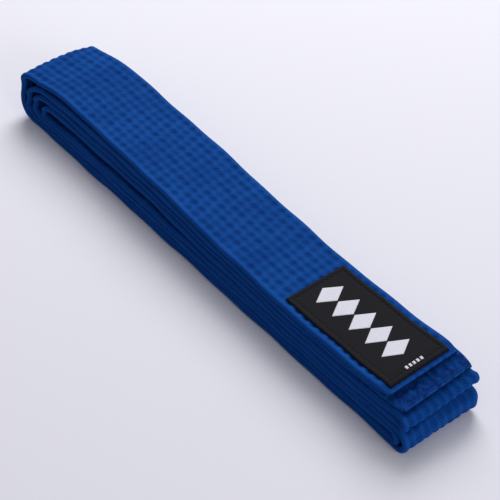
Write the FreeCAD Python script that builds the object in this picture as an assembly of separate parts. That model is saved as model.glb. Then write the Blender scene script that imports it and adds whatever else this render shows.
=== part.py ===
import FreeCAD, Part
import math
import os

# Martial arts belt, folded for storage: one quilted cotton strap, doubled three times into eight
# layers ("passes") that lie flat on each other, with a woven label on the top pass.
#
# Millimetres. +X runs along the bundle towards the label end, Y across the strap, +Z up.
# The origin is the bottom centre of the bundle's box, on the surface that the bundle lies on.
#
# Pass 1 is the top one and pass 8 the bottom one. From end A the strap runs through passes
# 1, 8, 5, 4, 3, 6, 7, 2 to end B, and turns round at these folds:
#   far end  (-X): 1-8, 2-7, 3-6 and 4-5, nested round one line at half the bundle's height
#   near end (+X): 3-4 alone, and 5-8 round 6-7

Vector = FreeCAD.Vector

# ---- strap ----
BELT_LENGTH = 2500.0        # along the strap's middle, end A to end B
BELT_WIDTH = 45.0
LAYER_PITCH = 3.6           # rise from one pass to the next
LAYER_GAP = 0.4             # air between two passes
EDGE_RADIUS = 1.2           # rounding of the strap's long edges
COVER_WALL = 0.65           # cover cloth with its wadding
CORE_PLIES = 3
CORE_CLEARANCE = 0.03       # between the plies, and between the core and the cover

# ---- lengthwise stitching ----
STITCH_ROWS = 9
ROW_SPACING = 4.6
GROOVE_WIDTH = 0.8
GROOVE_DEPTH = 0.3
THREAD_WIDTH = 0.6
THREAD_HEIGHT = 0.2

# ---- how far each fold or end stands out past end A, at the near end ----
END_B_REACH = 7.0
FOLD_3_4_REACH = 14.0
FOLD_NEST_REACH = 15.5      # fold 5-8, and fold 6-7 inside it
JOINT_CUT = 0.3             # slit between the label pass and the fold it unfolds at

# ---- ends ----
HEM_LENGTH = 2.2            # turned-in cloth across each end
TACK_INSET = 1.9            # row of tack stitches, from the end
TACK_LENGTH = 2.4
TACK_WIDTH = 0.5
TACK_HEIGHT = 0.15
TACK_PITCH = 3.4

# ---- woven label on pass 1 ----
LABEL_LENGTH = 75.5
LABEL_WIDTH = 36.5
LABEL_THICKNESS = 0.5
LABEL_INSET = 2.7           # from end A
YARN_HEIGHT = 0.12          # pale woven figures, proud of the label
FIGURE_COUNT = 5
FIGURE_SPAN = 60.0          # the row of lozenges, along the label
FIGURE_HEIGHT = 17.5
FIGURE_GAP = 0.8
FIGURE_CENTRE = 35.0        # from the label's far edge
TICK_COUNT = 5
TICK_SIZE = (1.8, 1.4)      # along and across the belt
TICK_PITCH = 2.3
TICK_INSET = 5.0            # from the label's near edge
BORDER_INSET = 1.6          # border stitches, from the label's edges
BORDER_STITCH = 2.2
BORDER_PITCH = 3.0
BORDER_THREAD = 0.45
BORDER_HEIGHT = 0.15

# ---- worked out from the sizes above ----
PASS_COUNT = 8
STRAP_THICKNESS = LAYER_PITCH - LAYER_GAP
HALF_STRAP = STRAP_THICKNESS / 2
CORE_HALF = HALF_STRAP - COVER_WALL
CORE_WIDTH = BELT_WIDTH - 2 * COVER_WALL
PLY_THICKNESS = (2 * CORE_HALF - (CORE_PLIES + 1) * CORE_CLEARANCE) / CORE_PLIES
ROW_PLACES = [(row - (STITCH_ROWS - 1) / 2) * ROW_SPACING for row in range(STITCH_ROWS)]

FOLDS = {  # (upper pass, lower pass): the end it is at
    (1, 8): "far", (2, 7): "far", (3, 6): "far", (4, 5): "far",
    (3, 4): "near", (5, 8): "near", (6, 7): "near",
}
FRONT_UP = {1: 1, 2: -1, 3: 1, 4: -1, 5: 1, 6: -1, 7: 1, 8: -1}  # which way the label's side faces


def pass_height(number):
    """Height of the middle of a pass."""
    return (PASS_COUNT - number + 0.5) * LAYER_PITCH - LAYER_GAP / 2


def fold_radius(upper, lower):
    """Radius of the strap's middle round a fold."""
    return (pass_height(upper) - pass_height(lower)) / 2


def fold_height(upper, lower):
    return (pass_height(upper) + pass_height(lower)) / 2


def straight_length_to_end_a():
    """Length of pass 1: the strap's length, less the folds and what reaches past end A, shared by 8."""
    round_folds = sum(math.pi * fold_radius(*fold) for fold in FOLDS)
    past_end_a = (END_B_REACH + 2 * (FOLD_3_4_REACH - fold_radius(3, 4) - HALF_STRAP)
                  + 4 * (FOLD_NEST_REACH - fold_radius(5, 8) - HALF_STRAP))
    return (BELT_LENGTH - round_folds - past_end_a) / PASS_COUNT


PASS_1_LENGTH = straight_length_to_end_a()
FAR_REACH = fold_radius(1, 8) + HALF_STRAP
OVERALL_LENGTH = FAR_REACH + PASS_1_LENGTH + FOLD_NEST_REACH
FAR_X = FAR_REACH - OVERALL_LENGTH / 2                  # line that the far folds turn round
END_A_X = FAR_X + PASS_1_LENGTH
END_B_X = END_A_X + END_B_REACH
FOLD_3_4_X = END_A_X + FOLD_3_4_REACH - fold_radius(3, 4) - HALF_STRAP
FOLD_NEST_X = END_A_X + FOLD_NEST_REACH - fold_radius(5, 8) - HALF_STRAP
NEAR_X = {1: END_A_X, 2: END_B_X, 3: FOLD_3_4_X, 4: FOLD_3_4_X,
          5: FOLD_NEST_X, 6: FOLD_NEST_X, 7: FOLD_NEST_X, 8: FOLD_NEST_X}


def fold_x(upper, lower):
    return FAR_X if FOLDS[(upper, lower)] == "far" else NEAR_X[upper]


# ---- the strap's section, across the strap ----
def face_points(width, thickness, radius, rows):
    """Top face of a section from edge to edge, as (y, z), dipping into a stitch groove at each row."""
    y = width / 2 - radius
    z = thickness / 2
    points = [(-y, z)]
    for row in rows:
        points += [(row - GROOVE_WIDTH / 2, z), (row - GROOVE_WIDTH / 2, z - GROOVE_DEPTH),
                   (row + GROOVE_WIDTH / 2, z - GROOVE_DEPTH), (row + GROOVE_WIDTH / 2, z)]
    return points + [(y, z)]


def section_wire(width, thickness, radius, rows=()):
    """Rounded rectangle in the YZ plane, as two equal halves: a face, then the edge on its right."""
    y = width / 2
    z = thickness / 2
    lean = radius * (1 - 0.5 ** 0.5)
    edges = []
    for turn in (1, -1):
        def point(py, pz):
            return Vector(0, turn * py, turn * pz)
        line = [point(*place) for place in face_points(width, thickness, radius, rows)]
        edges += [Part.LineSegment(start, end).toShape() for start, end in zip(line, line[1:])]
        edges.append(Part.Arc(line[-1], point(y - lean, z - lean), point(y, z - radius)).toShape())
        edges.append(Part.LineSegment(point(y, z - radius), point(y, radius - z)).toShape())
        edges.append(Part.Arc(point(y, radius - z), point(y - lean, lean - z), point(y - radius, -z)).toShape())
    return Part.Wire(edges)


def cover_face():
    """The cover's section: the cloth tube that wraps the core, grooved where it is sewn down."""
    outside = section_wire(BELT_WIDTH, STRAP_THICKNESS, EDGE_RADIUS, ROW_PLACES)
    inside = section_wire(CORE_WIDTH, 2 * CORE_HALF, EDGE_RADIUS - COVER_WALL)
    return Part.Face(outside).cut(Part.Face(inside)).Faces[0]


def along_pass(face, number, start, end):
    """Extrude a section along a pass."""
    placed = face.copy()
    placed.translate(Vector(start, 0, pass_height(number)))
    return placed.extrude(Vector(end - start, 0, 0))


def round_fold(face, upper, lower):
    """Turn a section round a fold."""
    placed = face.copy()
    placed.translate(Vector(fold_x(upper, lower), 0, pass_height(upper)))
    axis = Vector(0, -1, 0) if FOLDS[(upper, lower)] == "far" else Vector(0, 1, 0)
    return placed.revolve(Vector(fold_x(upper, lower), 0, fold_height(upper, lower)), axis, 180)


# ---- ribbons that follow the strap: core plies and threads ----
def pass_edge(number, start, end, offset):
    """Line along a pass, offset towards the strap's front."""
    z = pass_height(number) + FRONT_UP[number] * offset
    return Part.LineSegment(Vector(start, 0, z), Vector(end, 0, z)).toShape()


def fold_edge(first, second, offset):
    """Half circle round a fold from one pass to the next, offset towards the strap's front."""
    fold = (min(first, second), max(first, second))
    x = fold_x(*fold)
    z = fold_height(*fold)
    radius = fold_radius(*fold) + FRONT_UP[fold[0]] * offset
    rise = radius if first < second else -radius
    reach = -radius if FOLDS[fold] == "far" else radius
    return Part.Arc(Vector(x, 0, z + rise), Vector(x + reach, 0, z), Vector(x, 0, z - rise)).toShape()


def bundle_edges(offset):
    """The strap from the start of pass 8 to end B, at one depth in its thickness."""
    return [
        pass_edge(8, FAR_X, FOLD_NEST_X, offset), fold_edge(8, 5, offset),
        pass_edge(5, FOLD_NEST_X, FAR_X, offset), fold_edge(5, 4, offset),
        pass_edge(4, FAR_X, FOLD_3_4_X, offset), fold_edge(4, 3, offset),
        pass_edge(3, FOLD_3_4_X, FAR_X, offset), fold_edge(3, 6, offset),
        pass_edge(6, FAR_X, FOLD_NEST_X, offset), fold_edge(6, 7, offset),
        pass_edge(7, FOLD_NEST_X, FAR_X, offset), fold_edge(7, 2, offset),
        pass_edge(2, FAR_X, END_B_X - HEM_LENGTH, offset),
    ]


def label_pass_edges(offset):
    return [pass_edge(1, END_A_X - HEM_LENGTH, FAR_X + JOINT_CUT, offset)]


def outer_fold_edges(offset):
    return [fold_edge(1, 8, offset)]


def ribbon(edges_at, low, high, y, width):
    """Solid that follows the strap between two depths of its thickness, centred on y."""
    sides = [edges_at(low), edges_at(high)]
    starts = [edges[0].valueAt(edges[0].FirstParameter) for edges in sides]
    ends = [edges[-1].valueAt(edges[-1].LastParameter) for edges in sides]
    caps = [Part.LineSegment(*starts).toShape(), Part.LineSegment(*ends).toShape()]
    face = Part.Face(Part.Wire(Part.__sortEdges__(sides[0] + sides[1] + caps)))
    face.translate(Vector(0, y - width / 2, 0))
    return face.extrude(Vector(0, width, 0))


def ply(edges_at, number):
    low = -CORE_HALF + CORE_CLEARANCE + number * (PLY_THICKNESS + CORE_CLEARANCE)
    return ribbon(edges_at, low, low + PLY_THICKNESS, 0, CORE_WIDTH - 2 * EDGE_RADIUS)


def thread(edges_at, row, side):
    """Strip of thread on the floor of a groove: side 1 is the front, -1 the back."""
    depth = HALF_STRAP - GROOVE_DEPTH
    low, high = sorted((side * depth, side * (depth + THREAD_HEIGHT)))
    return ribbon(edges_at, low, high, ROW_PLACES[row], THREAD_WIDTH)


# ---- ends ----
def end_hem(number):
    """Cloth turned in across an end: a half-round roll with the strap's own section."""
    end = NEAR_X[number]
    z = pass_height(number)
    face = Part.Face(section_wire(BELT_WIDTH, STRAP_THICKNESS, EDGE_RADIUS))
    block = along_pass(face, number, end - HEM_LENGTH, end)
    nose = Part.makeCylinder(HALF_STRAP, BELT_WIDTH, Vector(end - HALF_STRAP, -BELT_WIDTH / 2, z),
                             Vector(0, 1, 0))
    back = Part.makeBox(HEM_LENGTH - HALF_STRAP, BELT_WIDTH, STRAP_THICKNESS,
                        Vector(end - HEM_LENGTH, -BELT_WIDTH / 2, z - HALF_STRAP))
    return block.common(nose.fuse(back)).removeSplitter()


def end_tack(number):
    """Row of short stitches across an end, on the hem's upper side."""
    count = int((BELT_WIDTH - 2 * EDGE_RADIUS) // TACK_PITCH)
    x = NEAR_X[number] - TACK_INSET - TACK_WIDTH / 2
    z = pass_height(number) + HALF_STRAP
    stitches = []
    for index in range(count):
        y = (index - (count - 1) / 2) * TACK_PITCH - TACK_LENGTH / 2
        stitches.append(Part.makeBox(TACK_WIDTH, TACK_LENGTH, TACK_HEIGHT, Vector(x, y, z)))
    return Part.makeCompound(stitches)


# ---- label ----
LABEL_NEAR_X = END_A_X - LABEL_INSET
LABEL_FAR_X = LABEL_NEAR_X - LABEL_LENGTH
LABEL_BASE_Z = pass_height(1) + HALF_STRAP
LABEL_TOP_Z = LABEL_BASE_Z + LABEL_THICKNESS


def label_patch():
    return Part.makeBox(LABEL_LENGTH, LABEL_WIDTH, LABEL_THICKNESS,
                        Vector(LABEL_FAR_X, -LABEL_WIDTH / 2, LABEL_BASE_Z))


def lozenge(x, length, height):
    corners = [(x - length / 2, 0), (x, -height / 2), (x + length / 2, 0), (x, height / 2)]
    points = [Vector(px, py, LABEL_TOP_Z) for px, py in corners]
    return Part.Face(Part.makePolygon(points + points[:1])).extrude(Vector(0, 0, YARN_HEIGHT))


def label_figures():
    """Plain row of lozenges, woven in pale yarn."""
    step = FIGURE_SPAN / FIGURE_COUNT
    first = LABEL_FAR_X + FIGURE_CENTRE - FIGURE_SPAN / 2 + step / 2
    return Part.makeCompound([lozenge(first + step * index, step - FIGURE_GAP, FIGURE_HEIGHT)
                              for index in range(FIGURE_COUNT)])


def label_ticks():
    """Short plain ticks across the label, at its near edge."""
    length, width = TICK_SIZE
    x = LABEL_NEAR_X - TICK_INSET
    return Part.makeCompound([
        Part.makeBox(length, width, YARN_HEIGHT,
                     Vector(x, (index - (TICK_COUNT - 1) / 2) * TICK_PITCH - width / 2, LABEL_TOP_Z))
        for index in range(TICK_COUNT)])


def stitch_line(length):
    """Starts of the stitches along one side of the label, evenly spread."""
    count = int((length - BORDER_STITCH) // BORDER_PITCH) + 1
    first = -((count - 1) * BORDER_PITCH + BORDER_STITCH) / 2
    return [first + index * BORDER_PITCH for index in range(count)]


def label_border():
    """Stitches that hold the label down, along all four sides."""
    middle = (LABEL_FAR_X + LABEL_NEAR_X) / 2
    half_x = LABEL_LENGTH / 2 - BORDER_INSET
    half_y = LABEL_WIDTH / 2 - BORDER_INSET
    stitches = []
    for side in (-1, 1):
        for start in stitch_line(2 * half_x - 2 * BORDER_THREAD):
            stitches.append(Part.makeBox(
                BORDER_STITCH, BORDER_THREAD, BORDER_HEIGHT,
                Vector(middle + start, side * half_y - BORDER_THREAD / 2, LABEL_TOP_Z)))
        for start in stitch_line(2 * half_y - 2 * BORDER_THREAD):
            stitches.append(Part.makeBox(
                BORDER_THREAD, BORDER_STITCH, BORDER_HEIGHT,
                Vector(middle + side * half_x - BORDER_THREAD / 2, start, LABEL_TOP_Z)))
    return Part.makeCompound(stitches)


# ---- the pieces ----
def cover_nodes():
    face = cover_face()
    nodes = {}
    for number in range(1, PASS_COUNT + 1):
        start = FAR_X + JOINT_CUT if number == 1 else FAR_X
        end = NEAR_X[number] - (HEM_LENGTH if number in (1, 2) else 0)
        nodes[f"cover_pass_{number}"] = along_pass(face, number, start, end)
    for upper, lower in FOLDS:
        nodes[f"cover_{FOLDS[(upper, lower)]}_fold_{upper}_{lower}"] = round_fold(face, upper, lower)
    return nodes


def core_nodes():
    nodes = {}
    for number in range(CORE_PLIES):
        nodes[f"core_ply_{number + 1}"] = ply(bundle_edges, number)
        nodes[f"label_pass_core_ply_{number + 1}"] = ply(label_pass_edges, number)
    nodes["outer_fold_core_plies"] = Part.makeCompound(
        [ply(outer_fold_edges, number) for number in range(CORE_PLIES)])
    return nodes


def thread_nodes():
    rows = range(STITCH_ROWS)
    nodes = {}
    for side, name in ((1, "needle"), (-1, "bobbin")):
        for row in rows:
            nodes[f"{name}_thread_row_{row + 1}"] = thread(bundle_edges, row, side)
        nodes[f"label_pass_{name}_threads"] = Part.makeCompound(
            [thread(label_pass_edges, row, side) for row in rows])
        nodes[f"outer_fold_{name}_threads"] = Part.makeCompound(
            [thread(outer_fold_edges, row, side) for row in rows])
    return nodes


def end_nodes():
    return {"end_hem_a": end_hem(1), "end_hem_b": end_hem(2),
            "end_tack_stitches_a": end_tack(1), "end_tack_stitches_b": end_tack(2)}


def label_nodes():
    return {"label_patch": label_patch(), "label_woven_lozenges": label_figures(),
            "label_woven_ticks": label_ticks(), "label_border_stitches": label_border()}


def main():
    os.makedirs("parts", exist_ok=True)
    nodes = {**cover_nodes(), **core_nodes(), **thread_nodes(), **end_nodes(), **label_nodes()}
    volume = 0
    for name, shape in nodes.items():
        if not shape.isValid() or not all(solid.isClosed() for solid in shape.Solids):
            raise ValueError(f"{name} is not a valid closed solid")
        volume += shape.Volume
        shape.exportStep(f"parts/{name}.step")
    print(f"{len(nodes)} nodes, {volume / 1000:.1f} cm3, overall length {OVERALL_LENGTH:.2f} mm")
    print(f"far folds' line x {FAR_X:.3f} z {fold_height(1, 8):.3f}, end A x {END_A_X:.3f}, "
          f"label top z {LABEL_TOP_Z:.3f}")


main()
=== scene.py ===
import math

import bpy
import numpy as np
from mathutils import Matrix, Vector


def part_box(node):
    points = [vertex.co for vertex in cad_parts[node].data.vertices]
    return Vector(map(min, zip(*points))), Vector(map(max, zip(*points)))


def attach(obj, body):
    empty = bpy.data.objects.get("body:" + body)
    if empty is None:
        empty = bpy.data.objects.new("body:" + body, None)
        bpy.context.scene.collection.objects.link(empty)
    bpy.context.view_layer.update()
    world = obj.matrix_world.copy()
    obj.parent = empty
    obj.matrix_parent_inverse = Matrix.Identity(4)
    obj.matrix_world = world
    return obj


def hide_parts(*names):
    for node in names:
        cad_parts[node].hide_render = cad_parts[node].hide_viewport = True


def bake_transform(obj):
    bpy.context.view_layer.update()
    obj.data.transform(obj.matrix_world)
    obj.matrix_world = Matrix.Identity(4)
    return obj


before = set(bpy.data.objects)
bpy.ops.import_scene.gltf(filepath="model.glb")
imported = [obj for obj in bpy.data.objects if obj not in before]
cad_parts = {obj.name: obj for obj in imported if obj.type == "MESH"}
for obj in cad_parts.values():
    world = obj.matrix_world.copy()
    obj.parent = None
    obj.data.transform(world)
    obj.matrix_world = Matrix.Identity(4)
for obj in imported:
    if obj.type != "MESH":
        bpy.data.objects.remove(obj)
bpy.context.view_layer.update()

# A martial arts belt, doubled three times into eight flat passes. The strap is one continuous ribbon:
# its middle line is drawn through passes 1, 8, 5, 4, 3, 6, 7, 2 and the folds between them, and every
# piece of cloth, thread and label is placed on that ribbon by its distance along the strap, across it
# and out of it. Metres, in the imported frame: +X towards the label end, +Y across, +Z up.

MM = 0.001

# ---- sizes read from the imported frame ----
PASSES = range(1, 9)
PASS_BOX = {number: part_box(f"cover_pass_{number}") for number in PASSES}
FLOOR_Z = PASS_BOX[8][0].z
STRAP = PASS_BOX[8][1].z - PASS_BOX[8][0].z
HALF_WIDTH = PASS_BOX[8][1].y
FAR_X = PASS_BOX[8][0].x
END_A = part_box("end_hem_a")[1].x
END_B_PULL = 2.4 * MM               # end B lies this much past its place in the frame
END_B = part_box("end_hem_b")[1].x + END_B_PULL
NEAR_X = {number: PASS_BOX[number][1].x for number in PASSES} | {1: END_A, 2: END_B}
ROW_COUNT = sum(name.startswith("needle_thread_row_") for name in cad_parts)
ROWS = [sum(corner.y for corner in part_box(f"needle_thread_row_{row}")) / 2
        for row in range(1, ROW_COUNT + 1)]
LABEL_LOW, LABEL_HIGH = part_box("label_patch")

# ---- the ribbon's middle line ----
ROUTE = (1, 8, 5, 4, 3, 6, 7, 2)    # the passes from end A to end B
# A far fold starts this far inside the outer one, by pass
FAR_INSET = {1: 0, 8: 0, 2: 1.5 * MM, 7: 1.5 * MM, 3: 5 * MM, 6: 5 * MM, 4: 11 * MM, 5: 11 * MM}
# A fold reaches this far past the ends of its two passes
FAR_REACH = {(1, 8): 14.6 * MM, (2, 7): 10.5 * MM, (3, 6): 7.3 * MM, (4, 5): 4.0 * MM}
NEAR_REACH = {(3, 4): 2.6 * MM, (5, 8): 6.9 * MM, (6, 7): 2.0 * MM}
ROUND = (2.0, 2.0)                  # superellipse powers of a fold's upper and lower quarter
FOLD_POWERS = {(1, 8): (4.6, 2.6), (5, 8): (2.5, 2.4)}
FOLD_TILT = {(1, 8): -1.6 * MM}     # how far a fold's top leans outwards
BUCKLES = {(3, 6): 1.0 * MM, (2, 7): 0.6 * MM, (4, 5): 0.5 * MM}    # waves in a squeezed fold
BUCKLE_TURNS = 5
FOLD_POINTS = 90
PASS_STEP = MM
LAYER = STRAP - 0.30 * MM           # a pass pressed by the ones above it
TIGHT_GAP = 0.1 * MM
TIGHT_GAP_SWAY = 0.6                # share of the tight gap that comes and goes along the bundle
TIGHT_GAP_TURNS = (9, 2.1)          # radians of that sway along the bundle, and from pass to pass
GAPS = {                            # air under a pass: (height, place along the bundle, spread)
    1: ((1.7 * MM, 0.06, 0.13), (0.35 * MM, 0.45, 0.30), (0.35 * MM, 1.0, 0.12)),
    2: ((0.35 * MM, 0.30, 0.20), (0.40 * MM, 0.95, 0.12)),
    3: ((0.35 * MM, 0.55, 0.20), (0.80 * MM, 1.0, 0.08)),
    4: ((2.8 * MM, 0.04, 0.11), (2.8 * MM, 0.30, 0.19), (0.50 * MM, 0.95, 0.15)),
    5: ((0.30 * MM, 0.45, 0.25), (0.40 * MM, 0.97, 0.10)),
    6: ((0.25 * MM, 0.20, 0.15), (1.6 * MM, 1.02, 0.08)),
    7: ((0.30 * MM, 0.80, 0.15), (0.30 * MM, 0.30, 0.15)),
}
UPPER_BOW = 4.9 * MM                # the top pass bows towards +Y over the bundle's far half
UPPER_START = 0.43                  # share of the bundle's height where the bow starts
LOWER_SHIFT = -2.9 * MM             # the lower four passes lie towards -Y, most at the near end
LOWER_SHIFT_FAR = 0.6               # share of that shift at the far folds
LOWER_TOP = 0.5                     # share of the height where the shift is half gone
LOWER_FADE = 0.12
WANDER = ((0.30 * MM, 97 * MM, 1.0), (0.1 * MM, 31 * MM, 0.0))      # height, length per radian, start
END_B_SHIFT = 1.4 * MM              # end B lies this much further towards +Y
END_B_SHIFT_SPREAD = 60 * MM
FAR_CROWN = 1.5 * MM                # the top pass's middle stands this much above its edges at the far end
FAR_DROOP = 0.6 * MM                # its +Y corner hangs this much
FAR_TUCK = 2.4 * MM                 # and is drawn in this much
FAR_TOP_PLACE = -0.05               # share of the length where those three are greatest
FAR_TOP_SPREAD = 0.065
CORNER_POWER = 4                    # how closely the droop and tuck keep to the corner
TUCK_REACH = 12 * MM
BOW_PLACES = (-0.08, 0.08, 0.72)    # share of the length where the bow starts, is widest and ends
BOW_SMOOTHING = 6 * MM
NEAR_ROLL = 0.068                   # slope of the top pass across the bundle at the near end
ROLL_START = 0.6                    # share of the length where that slope starts
ROLL_HEIGHTS = (0.3, 0.6, 0.86, 1.0)    # shares of the bundle's height,
ROLL_SHARES = (0, 1, 0.9, 0.45)         # and how much of the slope the strap has there
LINE_STEP = 0.25 * MM
LINE_SMOOTHING = 0.9 * MM
CURVATURE_SMOOTHING = 0.5 * MM
KERNEL_REACH = 4                    # sigmas on either side that smoothing looks at
STRAIGHT = 1e-6                     # least curvature, in place of none
BEND_ROOM = 0.88                    # share of a bend's radius that the strap's inside may fill

# ---- the strap's section and quilting ----
HALF_THICK = 0.5 * STRAP - 0.08 * MM    # cloth between the stitches swells to half the strap's thickness
EDGE_ROUND = 1.9 * MM
STITCH_PITCH = 5.95 * MM
STITCH_SLANT = 0.10                     # stitches lean along the strap, row by row
STITCH_JITTER = 0.45 * MM
STITCH_WAVE = 1.0 * MM
JITTER_TURNS = ((12.9, 7.1), (3.7, 11.3))   # radians from stitch to stitch, and from row to row
WAVE_TURNS = (0.45, 0.6)
ROW_DEPTH = 0.03 * MM
ROW_SPREAD = 1.1 * MM
FOLD_ROW_DEPTH = 0.44 * MM              # more of it where the strap is bent tightly
HOLE_DEPTH = 0.74 * MM
HOLE_ACROSS = 1.62 * MM
HOLE_ALONG = 2.15 * MM
HOLE_UNEVEN = 0.35                      # some stitches pull this much more or less than others
PULL_TURNS = (5.3, 2.9)
CROSS_DEPTH = 0.10 * MM
CROSS_REACH = 2.4 * MM
CROSS_ALONG = 1.6 * MM
GATHER = 0.45 * MM                      # the cloth is drawn in by the stitches across its ends
GATHER_PLACE = 4.4 * MM
GATHER_SPREAD = 2.2 * MM
FOLD_RADIUS = 3 * MM                    # a bend this tight or tighter changes the quilting fully
FOLD_CALM = 0.25                        # share of the relief that is lost there
END_CALM = 0.10                         # and at the strap's ends
END_CALM_SPREAD = 7 * MM
MARGIN_SWELL = 0.12 * MM
MARGIN_SPREAD = 1.6 * MM
BILLOW = 0.13 * MM
BILLOW_WAVES = (                        # lengths per radian along and across, and start
    (11 * MM, 17 * MM, 0),
    (7.3 * MM, -9.1 * MM, 1),
    (19 * MM, 5.7 * MM, 2),
    (5.2 * MM, 23 * MM, 3),
)
# The turned-in end, from inside the slit outwards: millimetres from the end, share of the thickness
NOSE = ((1.30, 0.04), (0.60, 0.10), (0.20, 0.30), (0.03, 0.55), (0.0, 0.75), (0.12, 0.92), (0.40, 1.0))
NOSE_NARROWING = 0.05                   # share of the width lost inside the slit
EDGE_WOBBLE = 0.34 * MM
EDGE_WOBBLE_LENGTHS = (7 * MM, 23 * MM)
FOLD_SPREAD = 0.05                      # the strap spreads sideways at tight folds
SPREAD_RADIUS = 4 * MM                  # fully, where it bends this tightly
EDGE_BLEND = 10 * MM                    # over which the weave's place turns from one face to the edge
EDGE_POINTS = 9

# ---- how finely it is built ----
FINE = 0.62 * MM
COARSE = 1.7 * MM
CUT = 28 * MM                           # from a fold to where the strap is cut into pieces

# ---- thread ----
THREAD_RADIUS = 0.20 * MM
HOLE_REST = 0.30 * MM                   # from a needle hole to the thread's end
STRAND_SPANS = 6
STRAND_SIDES = 6
STRAND_ARCH = 0.6                       # power of a strand's rise: lower is flatter on top
STRAND_DIP = 1.1                        # radii that its ends lie below its top
STRAND_TIP = 0.35                       # share of its girth left at the ends

# ---- the strap's ends ----
SEAM = 2.1 * MM                         # from an end to the stitches across it
TACK_PITCH = 3.4 * MM
TACK_LENGTH = 2.6 * MM
TACK_WIDTH = 0.93                       # share of the strap's width that those stitches cross
# Changes close to an end: share, distance from the end, spread
END_PRESS = (0.50, 0, 5.0 * MM)
END_LIP = (0.18, 0.8 * MM, 0.6 * MM)
END_SEAM = (0.22, SEAM, 0.5 * MM)
END_NARROWING = (0.045, 0, 5 * MM)
CORNER_NARROWING = (0.03, 0, 1.2 * MM)

# ---- label ----
LABEL_THICKNESS = 0.45 * MM
LABEL_ROUND = 0.3 * MM
LABEL_SINK = 0.25 * MM                  # its underside, below the cloth's highest places
BORDER_INSET = 2.7 * MM
BORDER_STITCH = 2.3 * MM
BORDER_PITCH = 3.0 * MM
BORDER_RADIUS = 0.22 * MM
YARN_HEIGHT = 0.14 * MM
LOZENGES = 5
LOZENGE_GAP = 0.8 * MM
TICKS = 5
TICK_WIDTH = 1.4 * MM
# Changes close to the label's border: height, distance from the border, spread
LABEL_RIM = (0.24 * MM, 1.2 * MM, 1.2 * MM)
BORDER_PULL = (0.24 * MM, BORDER_INSET, 0.55 * MM)
PUCKER = (0.06 * MM, BORDER_INSET, 1.3 * MM)
PUCKER_PITCH = 3 * MM
PILLOW = 0.10 * MM
PILLOW_LENGTHS = (21 * MM, 19 * MM)     # per radian, along and across
YARN_ROUND = 0.12                       # share of a figure's half size that is rounded off
YARN_RIM = 0.15                         # share of the yarn's height at its border
YARN_SINK = 0.08 * MM
PATCH_CELLS = (160, 80)
LOZENGE_CELLS = (28, 28)
TICK_CELLS = (7, 9)

# ---- colours, linear ----
BELT_BLUE = (0.0030, 0.059, 0.286)
BELT_BLUE_PALE = (0.0048, 0.071, 0.326)
# deep: the twill's darker lines, and the painted shade in dimples, slits and under end A
BELT_BLUE_DEEP = (0.0016, 0.018, 0.115)
# worn: paler blue for wear, and for painted highlight on crests, edges and end lips
BELT_BLUE_WORN_AND_HIGHLIGHT = (0.011, 0.115, 0.435)
THREAD_LIGHT = (0.004, 0.062, 0.30)
THREAD_DARK = (0.003, 0.050, 0.25)
LABEL_THREAD_LIGHT = (0.014, 0.013, 0.014)
LABEL_THREAD_DARK = (0.004, 0.004, 0.004)
LABEL_BLACK = (0.0030, 0.0033, 0.0048)
LABEL_GREY = (0.008, 0.0085, 0.012)
YARN_LIGHT = (0.76, 0.76, 0.84)
YARN_SHADE = (0.66, 0.66, 0.75)
FLOOR_COLOUR = (0.80, 0.80, 0.86)
FLOOR_SHADE = (0.74, 0.74, 0.80)
BLUE_SHEEN = (0.15, 0.40, 1.0)
LABEL_SHEEN = (0.6, 0.6, 0.8)
YARN_SHEEN = (1.0, 1.0, 1.0)
LABEL_THREAD_SHEEN = (0.5, 0.5, 0.6)
SHEEN_ROUGHNESS = 0.45

# ---- weaves: sizes in millimetres, lines as pitch and angle in degrees ----
TWILL = (1.1, -42)
SPUN_YARN = (0.42, 4)
SLUB_SIZE = 0.5
PATCH_SIZE = 14.0
SWAY_SIZE = 3.0
# size of the mottling in the painted shadow under end A
SHADOW_MOTTLE_SIZE = 2.6
DIMPLE_HEIGHTS = (-0.55, 0.05)          # from the face: full painted shade in the dimples, and none
CREST_HEIGHTS = (-0.30, 0.12)           # from the face: no paling, and full paling, partly wear and partly painted highlight
EDGE_PLACES = (21.2, 22.8)              # from the strap's middle: no paling, and full paling, partly wear and partly painted highlight
END_A_SHADOW_PLACES = (26, 12)               # from end B: no painted shadow, and full painted shadow under end A
LIP_PLACES = (0.9, 0.4)                 # from either end: plain, and fully lip
SLIT_DEPTHS = (0.70, 0.35)              # from the strap's middle: no painted shade in the ends' slits, and full
RIDGE_SHADE = 0.36
# painted shade in the sewn dimples
DIMPLE_PAINTED_SHADE = 0.34
# how strongly paler blue goes in, for wear and for painted highlight
WEAR_AND_HIGHLIGHT = 0.30
LIP_WEAR_AND_HIGHLIGHT = 0.38
BELT_BUMP = 0.14 * MM
THREAD_TWIST = (0.45, 50)
THREAD_BUMP = 0.05 * MM
LABEL_RIBS = (0.5, 0)
LABEL_PICKS = (0.36, 90)
LABEL_GRAIN = 0.7
LABEL_BUMP = 0.08 * MM
YARN_FLOATS = (0.42, 90)
YARN_BINDING = (1.6, 25)
YARN_SWAY = 1.5
YARN_GRAIN = 0.6
YARN_BUMP = 0.05 * MM
FLOOR_GRAIN = 0.002                     # metres

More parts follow.
